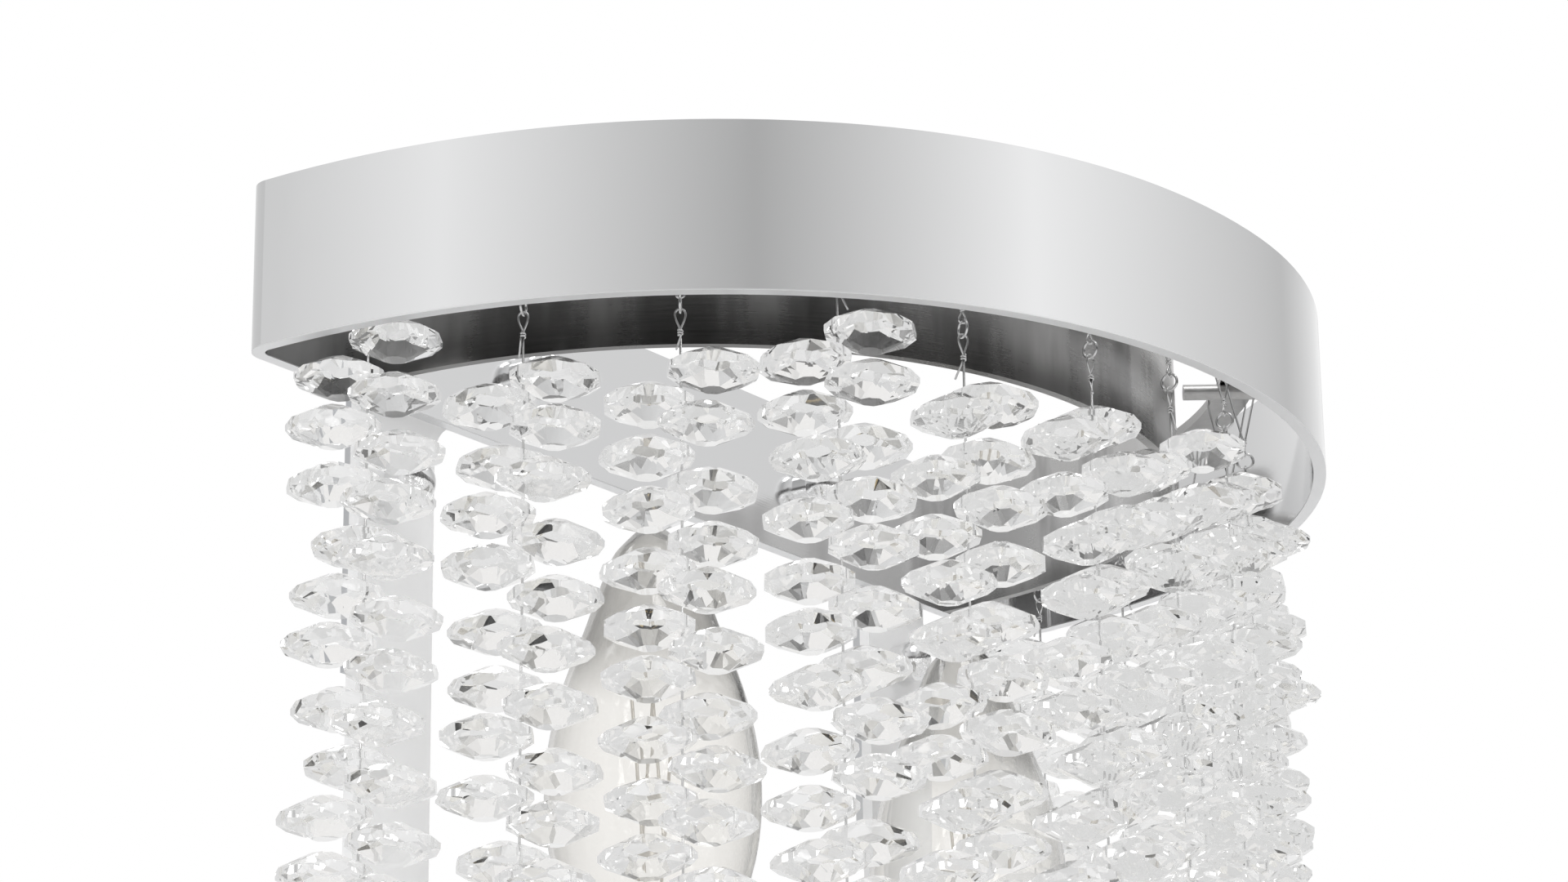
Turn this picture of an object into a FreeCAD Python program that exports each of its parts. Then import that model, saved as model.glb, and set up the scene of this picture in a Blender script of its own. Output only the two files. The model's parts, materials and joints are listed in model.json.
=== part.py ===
import FreeCAD, Part
import math
import os
from FreeCAD import Vector

# Crystal wall sconce: two nested D-shaped bands on a back plate, strands of crystal
# discs hanging between the bands, and two candle lamps inside.
# The wall is the plane y = 0, the front looks along -Y, and the origin is the middle
# of the four wall screw holes. All sizes are in millimetres.

# Bands
bandHalfWidth = 101.6      # outside of the big band, half of its width along the wall
bandDepth = 108.6          # from the big band's straight back to its front
bandFullness = 2.1         # 2 gives half an ellipse, more makes it squarer
bandHeight = 26.0
bandSheet = 2.0
bandCornerRadius = 4.0     # the tight bend where front meets back
bandBottom = 12.0          # lower edge of both bands above the origin
innerHalfWidth = 80.0
innerDepth = 84.5
innerSheet = 1.5

# Rail that the strands hang from, on rods between the bands
rodDiameter = 2.6
rodHeight = 18.3           # middle of the rods above the bands' lower edge
rodStations = (0.5, 3.5, 8.5, 11.5)   # in strand spaces from the first strand
railWidth = 6.0
railSheet = 1.5

# Strands
strandCount = 13
strandEndMargin = 12.4     # along the rail, from the wall end to the first even station
# How far each strand has slid along the rail from its even station
strandDrift = (1.5, 4.5, 5.2, 5.6, 2.9, 4.7, 2.7, 2.0, 1.3, 0.3, -0.7, -1.9, -3.5)
strandLift = (0.6, 0.6, -0.5, -1.5, -1.5)   # how much higher a strand hangs, from the first
extraRows = (2, 0, 0, 2)   # discs that a strand has above row 0, from the first strand
wireDiameter = 0.5
wireToRail = 0.1           # clearance of a hanger wire round the rail
linkClearance = 0.25       # between two linked loops of wire
ringRadius = 1.25          # middle line of a jump ring
eyeRadius = 0.9            # middle line of a wire's end loop
ringHeight = 3.0           # middle of a jump ring above the bands' lower edge
knotRadius = 0.75
tailLength = 3.4
tailAngle = 24.0

# Crystal discs, drilled near two opposite corners, the wire through one hole
discDiameter = 14.0
discSides = 8
discThickness = 5.2
discGirdle = 1.8           # height of the upright rim
discTable = 5.0            # across the flat top
discHoleDiameter = 0.9
discHoleOffset = 4.9       # from the disc's middle to either of its two holes
discPitch = 4.15           # from one disc to the next down the wire
discRows = 65
firstRowDrop = 7.6         # middle of row 0 below the bands' lower edge
discWander = (34.0, 12.0)  # degrees that a disc turns away from its side

# Back plate, wall strips and crossbar
plateSheet = 2.0
plateHalfWidth = 75.0
plateTopInset = 1.0        # the plate stays this far below the band's upper edge
plateBottom = -190.0
windowHalfWidth = 58.0
windowTopInset = 1.0       # the window starts this far above the bands' lower edge
windowBottom = -88.0
windowRadius = 6.0
stripSheet = 2.5
stripWidth = 14.0
stripHeight = 60.0
wallHoleDiameter = 4.5
wallHoleRise = 20.0        # wall holes above and below the origin
crossbarLength = 100.0
crossbarWidth = 16.0
crossbarZ = -132.0
boxHoleSpacing = 82.6      # screws of a round junction box
boxHoleDiameter = 4.6
canopyStudX = 30.0

# Studs, bolts and ball cap nuts
studDiameter = 4.0
studClearance = 0.05       # radial, in its own strip
plateHoleClearance = 0.3   # radial, where a stud passes the plate or a band
studHeadDiameter = 6.0
studHeadHeight = 1.0
boltHeadDiameter = 7.0
boltHeadHeight = 1.8
bandBoltX = 38.0
ballDiameter = 7.2
ballCollarDiameter = 6.4
ballCollarHeight = 1.4
threadEngagement = 4.6     # stud inside its ball nut
tipClearance = 0.4         # end of a stud to the bottom of the nut's bore

# Lamp shelf and its cover
shelfTop = -154.5
shelfSheet = 1.5
shelfHalfWidth = 58.0
shelfDepth = 47.5
flangeHeight = 21.0
flangeHalfWidth = 55.0
coverSheet = 1.2
coverHeight = 22.0
coverRadius = 3.0
coverPostX = 24.0
coverPostFromFront = 9.0
coverPostDiameter = 6.0
screwDiameter = 3.0
screwClearance = 0.1
screwHeadDiameter = 5.6
screwHeadHeight = 1.8
flangeScrewX = 50.0
wireHoleDrop = 11.5        # wire hole below the shelf's top
groundScrewX = 26.0

# Grommet and leads
grommetBore = 7.0
grommetDiameter = 10.0
grommetFlangeDiameter = 13.0
grommetFlange = 1.0
grommetClearance = 0.1
leadDiameter = 1.8
leadSpacing = 3.2
leadBend = 5.0

# Lamps
lampX = 42.0
lampFromBand = 30.0        # lamp axis in front of the big band's straight back
lampTip = -6.0
lampLength = 98.0
lampRadius = 16.2
lampNeckRadius = 5.2
lampGlass = 0.8
capDiameter = 11.9
capHeight = 17.0
capSheet = 0.4
capClearance = 0.05        # neck inside its cap
holderDiameter = 19.0
holderTopDrop = 3.0        # top of the lamp holder above the cap's upper rim
holderFloor = 4.0
holderSeat = 10.0          # depth of pipe inside the holder
shellWall = 0.7
shellClearance = 0.1
capToShell = 0.55          # radial play of the lamp in its shell
contactDiameter = 4.0
contactHeight = 2.0
contactGap = 0.2
pipeDiameter = 9.6
pipeBore = 7.0
pipeClearance = 0.1
pipeBelowShelf = 6.5
pipeNutAcross = 14.0
pipeNutHeight = 3.0
sleeveDiameter = 24.0
sleeveWall = 1.2
sleeveAboveHolder = 2.0
stemRadius = 2.4
filamentDiameter = 0.5

# Worked out from the sizes above
bandBack = -(stripSheet + plateSheet)
bandTop = bandBottom + bandHeight
channelOuter = (bandHalfWidth - bandSheet, bandDepth - bandSheet)
railHalfWidth = (channelOuter[0] + innerHalfWidth) / 2
railDepth = (channelOuter[1] + innerDepth) / 2
rodZ = bandBottom + rodHeight
railBottom = rodZ + rodDiameter / 2
railTop = railBottom + railSheet
ringZ = bandBottom + ringHeight
plateFront = bandBack
plateBack = -stripSheet
strapMiddle = (plateHalfWidth + windowHalfWidth) / 2
bandMiddleZ = bandBottom + bandHeight / 2
lampY = bandBack - lampFromBand
lampBottom = lampTip - lampLength
capTop = lampBottom + capHeight
holderTop = capTop + holderTopDrop
holderCavityFloor = lampBottom - contactGap - contactHeight
holderBottom = holderCavityFloor - holderFloor - holderSeat
shelfBottom = shelfTop - shelfSheet
wireHoleZ = shelfTop - wireHoleDrop
coverBottom = shelfBottom - coverHeight
shelfFront = plateFront - shelfDepth
coverPostY = shelfFront + coverPostFromFront


def cylinder(diameter, height, base, axis=Vector(0, 0, 1)):
    return Part.makeCylinder(diameter / 2, height, base, axis)


def box(x0, x1, y0, y1, z0, z1):
    return Part.makeBox(x1 - x0, y1 - y0, z1 - z0, Vector(x0, y0, z0))


def fused(shapes):
    return shapes[0].multiFuse(shapes[1:]).removeSplitter()


def save(name, shape):
    """One STEP file per node; a list of shapes becomes a group of separate solids."""
    if isinstance(shape, list):
        shape = Part.makeCompound(shape)
    shape.exportStep("parts/" + name + ".step")
    print(name, len(shape.Solids), "solids", round(shape.Volume, 1), "mm3")


# Curve of a band: |x/a|^p + |y/b|^p = 1 on the front half
def bandPoint(halfWidth, depth, t):
    power = 2 / bandFullness
    c, s = math.cos(t), math.sin(t)
    x = -halfWidth * math.copysign(abs(c) ** power, c)
    return Vector(x, bandBack - depth * abs(s) ** power, 0)


def bandCurve(halfWidth, depth, steps=32):
    points = [bandPoint(halfWidth, depth, math.pi * i / steps) for i in range(steps + 1)]
    curve = Part.BSplineCurve()
    curve.interpolate(Points=points, InitialTangent=Vector(0, -1, 0),
                      FinalTangent=Vector(0, 1, 0))
    return curve.toShape()


def halfSolid(halfWidth, depth, z, height):
    front = bandCurve(halfWidth, depth)
    back = Part.makeLine(Vector(halfWidth, bandBack, 0), Vector(-halfWidth, bandBack, 0))
    face = Part.Face(Part.Wire([front, back]))
    solid = face.extrude(Vector(0, 0, height))
    solid.translate(Vector(0, 0, z))
    return solid


def curvedStrip(halfWidth, depth, width, z, height, backY):
    """Upright strip or flat rail between two like curves, cut off square at backY."""
    outer = halfSolid(halfWidth, depth, z, height)
    inner = halfSolid(halfWidth - width, depth - width, z - 1, height + 2)
    behind = box(-2 * halfWidth, 2 * halfWidth, backY, backY + depth, z - 1, z + height + 1)
    return outer.cut(inner).cut(behind)


def outerBand():
    shell = halfSolid(bandHalfWidth, bandDepth, bandBottom, bandHeight)
    corners = [e for e in shell.Edges if abs(e.BoundBox.ZLength - bandHeight) < 0.01]
    shell = shell.makeFillet(bandCornerRadius, corners)
    hollow = halfSolid(*channelOuter, bandBottom - 1, bandHeight + 2)
    hollow = hollow.cut(box(-bandHalfWidth, bandHalfWidth, bandBack - bandSheet, bandBack + 1,
                            bandBottom - 2, bandTop + 2))
    corners = [e for e in hollow.Edges if abs(e.BoundBox.ZLength - bandHeight - 2) < 0.01]
    shell = shell.cut(hollow.makeFillet(bandCornerRadius - bandSheet, corners))
    for side in (-1, 1):
        shell = shell.cut(acrossY(studDiameter + 2 * plateHoleClearance, side * bandBoltX,
                                  bandMiddleZ, plateFront - 2 * bandSheet, plateFront + 1))
    return shell


def acrossY(diameter, x, z, y0, y1):
    return cylinder(diameter, y1 - y0, Vector(x, y0, z), Vector(0, 1, 0))


# Stations along the rail, with the direction along it and the way out
def railStations():
    steps = 4000
    points = [bandPoint(railHalfWidth, railDepth, math.pi * i / steps)
              for i in range(steps + 1)]
    run = [0.0]
    for a, b in zip(points, points[1:]):
        run.append(run[-1] + (b - a).Length)
    space = (run[-1] - 2 * strandEndMargin) / (strandCount - 1)

    def at(count, drift=0.0):
        goal = strandEndMargin + space * count + drift
        i = next(k for k, value in enumerate(run) if value >= goal)
        along = (points[i + 1] - points[i - 1]).normalize()
        place = points[i - 1] + (points[i] - points[i - 1]) * (
            (goal - run[i - 1]) / (run[i] - run[i - 1]))
        return place, along, along.cross(Vector(0, 0, 1))
    return at


stationAt = railStations()


def own(values, index):
    """A strand's own value, or nothing where the list doesn't reach it."""
    return values[index] if index < len(values) else 0


def atStrand(shape, index, z):
    """Turns a shape from local axes (x along the rail, -y outwards) to its strand."""
    place, along, out = stationAt(index, own(strandDrift, index))
    moved = shape.copy()
    moved.rotate(Vector(0, 0, 0), Vector(0, 0, 1), math.degrees(math.atan2(along.y, along.x)))
    moved.translate(place + Vector(0, 0, z))
    return moved


def wirePath(points, diameter):
    """Straight runs of wire with ball joints at the bends."""
    pieces = []
    for a, b in zip(points, points[1:]):
        pieces.append(cylinder(diameter, (b - a).Length, a, b - a))
    for p in points[1:-1]:
        pieces.append(Part.makeSphere(diameter / 2, p))
    return pieces


def wireLoop(radius, centre, axis):
    return Part.makeTorus(radius, wireDiameter / 2, centre, axis)


# How far a linked loop's wire sits inside the ring's wire
linkStep = wireDiameter + linkClearance


def strandRingZ(index):
    return ringZ + discPitch * own(extraRows, index) + own(strandLift, index)


def hangerWire(index):
    """V of wire over the rail that ends in an eye for the jump ring (ring at z = 0)."""
    eyeMiddle = ringRadius - linkStep + eyeRadius
    top = Vector(0, 0, eyeMiddle + eyeRadius)
    side = railWidth / 2 + wireToRail + wireDiameter / 2
    under = railBottom - strandRingZ(index)
    over = railTop + wireToRail + wireDiameter / 2 - strandRingZ(index)
    path = [top, Vector(0, side, under), Vector(0, side, over),
            Vector(0, -side, over), Vector(0, -side, under), top]
    pieces = wirePath(path, wireDiameter)
    pieces.append(Part.makeSphere(wireDiameter / 2, top))
    pieces.append(wireLoop(eyeRadius, Vector(0, 0, eyeMiddle), Vector(0, 1, 0)))
    return fused(pieces)


def jumpRing():
    return wireLoop(ringRadius, Vector(0, 0, 0), Vector(1, 0, 0))


def rowZ(index, row):
    return bandBottom - firstRowDrop - discPitch * row + own(strandLift, index)


def strandWire(index):
    """Loop in the jump ring, knot with its tail, and the wire down to its end knot."""
    eyeMiddle = -(ringRadius - linkStep + eyeRadius)
    knot = Vector(0, 0, eyeMiddle - eyeRadius - knotRadius)
    lowest = rowZ(index, discRows - 1) - discThickness / 2
    end = Vector(0, 0, lowest - knotRadius - strandRingZ(index))
    turn = math.radians(tailAngle)
    tail = Vector(-math.sin(turn), 0, -math.cos(turn))
    pieces = [
        wireLoop(eyeRadius, Vector(0, 0, eyeMiddle), Vector(0, 1, 0)),
        Part.makeSphere(knotRadius, knot),
        cylinder(wireDiameter, tailLength, knot, tail),
        cylinder(wireDiameter, (knot - end).Length, end),
        Part.makeSphere(knotRadius, end),
    ]
    return fused(pieces)


def crystalDisc():
    """Eight-sided disc with a sloped crown each side, one of its holes on the Z axis."""
    def ring(radius, z):
        corners = []
        for i in range(discSides):
            a = 2 * math.pi * i / discSides
            corners.append(Vector(discHoleOffset + radius * math.cos(a),
                                  radius * math.sin(a), z))
        return corners

    def flat(corners):
        return Part.Face(Part.makePolygon(corners + corners[:1]))
    rim, table = discDiameter / 2, discTable / 2
    rings = [ring(table, -discThickness / 2), ring(rim, -discGirdle / 2),
             ring(rim, discGirdle / 2), ring(table, discThickness / 2)]
    faces = [flat(rings[0]), flat(rings[-1])]
    for low, high in zip(rings, rings[1:]):
        for i in range(discSides):
            k = (i + 1) % discSides
            faces.append(flat([low[i], low[k], high[k], high[i]]))
    shell = Part.Shell(faces)
    shell.sewShape()
    solid = Part.Solid(shell)
    for x in (0, 2 * discHoleOffset):
        solid = solid.cut(cylinder(discHoleDiameter, 2 * discThickness,
                                   Vector(x, 0, -discThickness)))
    return solid


def discTurn(index, row):
    """Discs take turns on the two sides of the wire and wander a little from them,
    but for those that reach up between the bands, which lie along the rail."""
    side = 0 if row % 2 == 0 else 180
    if rowZ(index, row) + discThickness / 2 > bandBottom:
        return side
    slow = discWander[0] * math.sin(0.9 * row + 1.7 * index)
    quick = discWander[1] * math.sin(2.3 * row + 2.9 * index)
    return side + slow + quick


def crystalStrand(index, disc):
    discs = []
    for row in range(-own(extraRows, index), discRows):
        piece = disc.copy()
        piece.rotate(Vector(0, 0, 0), Vector(0, 0, 1), discTurn(index, row))
        discs.append(atStrand(piece, index, rowZ(index, row)))
    return discs


def bridgeRods():
    """Rods square to the channel, from the inner band's outside to the big band's inside."""
    rods = []
    channel = curvedStrip(*channelOuter, channelOuter[0] - innerHalfWidth,
                          rodZ - rodDiameter, 2 * rodDiameter, bandBack - bandSheet)
    for count in rodStations:
        place, along, out = stationAt(count)
        reach = channelOuter[0] - innerHalfWidth
        start = place + Vector(0, 0, rodZ) - out * reach
        rods.append(cylinder(rodDiameter, 2 * reach, start, out).common(channel))
    return rods


def backPlate():
    plate = box(-plateHalfWidth, plateHalfWidth, plateFront, plateBack,
                plateBottom, bandTop - plateTopInset)
    window = box(-windowHalfWidth, windowHalfWidth, plateFront - 1, plateBack + 1,
                 windowBottom, bandBottom + windowTopInset)
    corners = [e for e in window.Edges if abs(e.BoundBox.YLength - plateSheet - 2) < 0.01]
    plate = plate.cut(window.makeFillet(windowRadius, corners))
    hole = studDiameter + 2 * plateHoleClearance
    for side in (-1, 1):
        for x, z in ((strapMiddle, 0), (bandBoltX, bandMiddleZ), (canopyStudX, crossbarZ)):
            plate = plate.cut(acrossY(hole, side * x, z, plateFront - 1, plateBack + 1))
        plate = plate.cut(acrossY(screwDiameter + 2 * screwClearance, side * flangeScrewX,
                                  wireHoleZ, plateFront - 1, plateBack + 1))
    plate = plate.cut(acrossY(screwDiameter + 2 * screwClearance, groundScrewX, wireHoleZ,
                              plateFront - 1, plateBack + 1))
    return plate.cut(acrossY(grommetDiameter, 0, wireHoleZ, plateFront - 1, plateBack + 1))


def studPocket(x, z):
    head = acrossY(studHeadDiameter + 2 * studClearance, x, z, -studHeadHeight, 1)
    return head.fuse(acrossY(studDiameter + 2 * studClearance, x, z, -2 * stripSheet, 1))


def wallStrips():
    strips = []
    for side in (-1, 1):
        x = side * strapMiddle
        strip = box(x - stripWidth / 2, x + stripWidth / 2, -stripSheet, 0,
                    -stripHeight / 2, stripHeight / 2)
        strip = strip.cut(studPocket(x, 0))
        for z in (-wallHoleRise, wallHoleRise):
            strip = strip.cut(acrossY(wallHoleDiameter, x, z, -stripSheet - 1, 1))
        strips.append(strip)
    return strips


def crossbar():
    bar = box(-crossbarLength / 2, crossbarLength / 2, -stripSheet, 0,
              crossbarZ - crossbarWidth / 2, crossbarZ + crossbarWidth / 2)
    for side in (-1, 1):
        bar = bar.cut(studPocket(side * canopyStudX, crossbarZ))
        bar = bar.cut(acrossY(boxHoleDiameter, side * boxHoleSpacing / 2, crossbarZ,
                              -stripSheet - 1, 1))
    return bar


# Studs stick out of the wall strips and the crossbar, bolts out of the back plate
def stud(x, z):
    tip = plateFront - threadEngagement
    head = acrossY(studHeadDiameter, x, z, -studHeadHeight, 0)
    return head.fuse(acrossY(studDiameter, x, z, tip, 0)).removeSplitter()


def bandBolt(x):
    tip = plateFront - bandSheet - threadEngagement
    head = acrossY(boltHeadDiameter, x, bandMiddleZ, plateBack, plateBack + boltHeadHeight)
    shank = acrossY(studDiameter, x, bandMiddleZ, tip, plateBack + boltHeadHeight)
    return head.fuse(shank).removeSplitter()


def ballNut(x, z, seat):
    """Ball on a short collar, with a blind bore for the stud, seated at y = seat."""
    collar = acrossY(ballCollarDiameter, x, z, seat - ballCollarHeight, seat)
    reach = math.sqrt((ballDiameter / 2) ** 2 - (ballCollarDiameter / 2) ** 2)
    ball = Part.makeSphere(ballDiameter / 2, Vector(x, seat - ballCollarHeight - reach, z))
    bore = acrossY(studDiameter + 2 * studClearance, x, z,
                   seat - threadEngagement - tipClearance, seat + 1)
    behind = box(x - ballDiameter, x + ballDiameter, seat, seat + ballDiameter,
                 z - ballDiameter, z + ballDiameter)
    return collar.fuse(ball).cut(behind).cut(bore)


def screwDownY(x, z, seat, length):
    """Pan-head screw whose head seats at y = seat and whose shank goes towards +Y."""
    head = acrossY(screwHeadDiameter, x, z, seat - screwHeadHeight, seat)
    return head.fuse(acrossY(screwDiameter, x, z, seat - 0.5, seat + length)).removeSplitter()


def coverScrew(x):
    head = cylinder(screwHeadDiameter, screwHeadHeight,
                    Vector(x, coverPostY, coverBottom - screwHeadHeight))
    shank = cylinder(screwDiameter, coverHeight / 2, Vector(x, coverPostY, coverBottom - 0.5))
    return head.fuse(shank).removeSplitter()


def lampShelf():
    shelf = box(-shelfHalfWidth, shelfHalfWidth, shelfFront, plateFront, shelfBottom, shelfTop)
    flange = box(-flangeHalfWidth, flangeHalfWidth, plateFront - shelfSheet, plateFront,
                 shelfTop - flangeHeight, shelfTop)
    posts = [cylinder(coverPostDiameter, coverHeight - coverSheet + 0.5,
                      Vector(side * coverPostX, coverPostY, coverBottom + coverSheet))
             for side in (-1, 1)]
    shelf = fused([shelf, flange] + posts)
    for side in (-1, 1):
        shelf = shelf.cut(cylinder(pipeDiameter + 2 * pipeClearance, 4 * shelfSheet,
                                   Vector(side * lampX, lampY, shelfBottom - shelfSheet)))
        shelf = shelf.cut(cylinder(screwDiameter + 2 * screwClearance, coverHeight * 0.6,
                                   Vector(side * coverPostX, coverPostY, coverBottom)))
        shelf = shelf.cut(acrossY(screwDiameter + 2 * screwClearance, side * flangeScrewX,
                                  wireHoleZ, plateFront - 5, plateFront + 1))
    shelf = shelf.cut(acrossY(screwDiameter + 2 * screwClearance, groundScrewX, wireHoleZ,
                              plateFront - 5, plateFront + 1))
    return shelf.cut(acrossY(grommetDiameter, 0, wireHoleZ, plateFront - 5, plateFront + 1))


def boxCover():
    """Pan under the shelf, open at the top and against the back plate."""
    pan = box(-shelfHalfWidth, shelfHalfWidth, shelfFront, plateFront, coverBottom, shelfBottom)
    corners = [e for e in pan.Edges if abs(e.BoundBox.ZLength - coverHeight) < 0.01
               and e.BoundBox.YMax < plateFront - 1]
    pan = pan.makeFillet(coverRadius, corners)
    hollow = box(-shelfHalfWidth + coverSheet, shelfHalfWidth - coverSheet,
                 shelfFront + coverSheet, plateFront + 1, coverBottom + coverSheet,
                 shelfBottom + 1)
    corners = [e for e in hollow.Edges
               if e.BoundBox.ZLength > coverHeight - coverSheet and e.BoundBox.YMax < plateFront]
    pan = pan.cut(hollow.makeFillet(coverRadius - coverSheet, corners))
    for side in (-1, 1):
        pan = pan.cut(cylinder(screwDiameter + 2 * screwClearance, 4 * coverSheet,
                               Vector(side * coverPostX, coverPostY, coverBottom - coverSheet)))
    return pan


def wireGrommet():
    front = plateFront - shelfSheet
    body = acrossY(grommetDiameter - 2 * grommetClearance, 0, wireHoleZ,
                   front - grommetFlange, plateBack + grommetFlange)
    rims = [acrossY(grommetFlangeDiameter, 0, wireHoleZ, front - grommetFlange, front),
            acrossY(grommetFlangeDiameter, 0, wireHoleZ, plateBack, plateBack + grommetFlange)]
    return fused([body] + rims).cut(acrossY(grommetBore, 0, wireHoleZ, front - 5, 5))


def roundedTube(points, bend, diameter):
    """Tube along straight runs joined by arcs of radius bend."""
    edges = []
    start = points[0]
    for before, corner, after in zip(points, points[1:], points[2:]):
        back, ahead = (before - corner).normalize(), (after - corner).normalize()
        half = back.getAngle(ahead) / 2
        cut = bend / math.tan(half)
        a, b = corner + back * cut, corner + ahead * cut
        middle = corner + (back + ahead).normalize() * (bend / math.sin(half) - bend)
        edges += [Part.makeLine(start, a), Part.Arc(a, middle, b).toShape()]
        start = b
    edges.append(Part.makeLine(start, points[-1]))
    spine = Part.Wire(edges)
    section = Part.Wire(Part.makeCircle(diameter / 2, points[0], points[1] - points[0]))
    return spine.makePipeShell([section], True, False)


def lampLeads():
    """Two leads from each lamp holder, down its pipe, across and out through the grommet."""
    leads = []
    for side in (-1, 1):
        for level in (1, -1):
            x = side * (lampX - level * leadSpacing / 2)
            z = wireHoleZ + level * leadSpacing / 2
            exitX = side * leadSpacing / 2
            path = [Vector(x, lampY, holderBottom + holderSeat), Vector(x, lampY, z),
                    Vector(exitX, lampY, z), Vector(exitX, 0, z)]
            leads.append(roundedTube(path, leadBend, leadDiameter))
    return leads


def lampPipe(x):
    low, high = shelfBottom - pipeBelowShelf, holderBottom + holderSeat
    pipe = cylinder(pipeDiameter, high - low, Vector(x, lampY, low))
    return pipe.cut(cylinder(pipeBore, high - low, Vector(x, lampY, low)))


def pipeNut(x, z):
    corners = [Vector(x + pipeNutAcross / math.sqrt(3) * math.cos(math.radians(60 * i)),
                      lampY + pipeNutAcross / math.sqrt(3) * math.sin(math.radians(60 * i)), z)
               for i in range(7)]
    nut = Part.Face(Part.makePolygon(corners)).extrude(Vector(0, 0, pipeNutHeight))
    return nut.cut(cylinder(pipeDiameter + 2 * pipeClearance, pipeNutHeight,
                            Vector(x, lampY, z)))


shellBore = capDiameter + 2 * capToShell
shellOutside = shellBore + 2 * shellWall


def lampHolder(x):
    body = cylinder(holderDiameter, holderTop - holderBottom, Vector(x, lampY, holderBottom))
    cavity = cylinder(shellOutside + 2 * shellClearance, holderTop - holderCavityFloor,
                      Vector(x, lampY, holderCavityFloor))
    seat = cylinder(pipeDiameter + 2 * pipeClearance, holderSeat,
                    Vector(x, lampY, holderBottom))
    return body.cut(cavity).cut(seat)


def screwShell(x):
    height = holderTop - holderCavityFloor - 1
    shell = cylinder(shellOutside, height, Vector(x, lampY, holderCavityFloor))
    return shell.cut(cylinder(shellBore, height, Vector(x, lampY, holderCavityFloor)))


def centreContact(x):
    return cylinder(contactDiameter, contactHeight, Vector(x, lampY, holderCavityFloor))


def candleSleeve(x):
    top = holderTop + sleeveAboveHolder
    sleeve = cylinder(sleeveDiameter, top - shelfTop, Vector(x, lampY, shelfTop))
    bore = sleeveDiameter - 2 * sleeveWall
    return sleeve.cut(cylinder(bore, top - shelfTop, Vector(x, lampY, shelfTop)))


def lampProfile(shrink):
    """Half outline of the glass from tip to neck, in tangent pieces."""
    body = lampTip - (capTop - 4 * capSheet)
    shape = ((0.045, 0.30), (0.09, 0.43), (0.20, 0.63), (0.34, 0.88), (0.48, 1.0),
             (0.62, 0.95), (0.76, 0.72), (0.88, 0.45))
    points = [Vector(0, 0, lampTip - shrink)]
    points += [Vector(lampRadius * r - shrink, 0, lampTip - body * d) for d, r in shape]
    points.append(Vector(lampNeckRadius - shrink, 0, capTop))
    slopes = [Vector(points[1].x, 0, 0)]
    slopes += [(c - a) / 2 for a, c in zip(points, points[2:])]
    slopes.append(Vector(0, 0, points[-1].z - points[-2].z))
    edges = []
    for a, c, goA, goC in zip(points, points[1:], slopes, slopes[1:]):
        piece = Part.BezierCurve()
        piece.setPoles([a, a + goA / 3, c - goC / 3, c])
        edges.append(piece.toShape())
    return edges


def lampGlassBody(x):
    foot = capTop - 3 * lampNeckRadius / 2
    solids = []
    for shrink, low in ((0, foot), (lampGlass, foot - 1)):
        radius = lampNeckRadius - shrink
        neck = Part.makePolygon([Vector(radius, 0, capTop), Vector(radius, 0, low),
                                 Vector(0, 0, low), Vector(0, 0, lampTip - shrink)])
        outline = Part.Wire(lampProfile(shrink) + neck.Edges)
        solids.append(Part.Face(outline).revolve(Vector(0, 0, 0), Vector(0, 0, 1), 360))
    glass = solids[0].cut(solids[1])
    glass.translate(Vector(x, lampY, 0))
    return glass


def lampCap(x):
    radius, bore = capDiameter / 2, lampNeckRadius + capClearance
    disc = lampBottom + 0.18 * capHeight
    cup = cylinder(capDiameter, capTop - disc, Vector(x, lampY, disc))
    cup = cup.cut(cylinder(2 * bore, capHeight, Vector(x, lampY, disc + capSheet)))
    cone = Part.makeCone(contactDiameter / 2, radius - capSheet, disc - lampBottom,
                         Vector(x, lampY, lampBottom))
    return cup.fuse(cone).removeSplitter()


def filamentMount(x):
    """Glass stem, two support wires and the filament between them."""
    foot = capTop - 3 * lampNeckRadius / 2
    stemTop = lampBottom + 0.38 * lampLength
    wireTop = lampBottom + 0.72 * lampLength
    spread = 0.32 * lampRadius
    flare = Part.makeCone(lampNeckRadius - lampGlass - capClearance, stemRadius,
                          (stemTop - foot) / 2, Vector(0, 0, foot))
    stem = cylinder(2 * stemRadius, stemTop - foot, Vector(0, 0, foot))
    pieces = [flare, stem]
    zigzag = []
    for i in range(5):
        z = wireTop if i % 2 == 0 else stemTop + 0.35 * (wireTop - stemTop)
        zigzag.append(Vector(spread * (i / 2 - 1), 0, z))
    path = [Vector(-stemRadius / 2, 0, stemTop - 1)] + zigzag
    path.append(Vector(stemRadius / 2, 0, stemTop - 1))
    pieces += wirePath(path, filamentDiameter)
    mount = fused(pieces)
    mount.translate(Vector(x, lampY, 0))
    return mount


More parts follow.
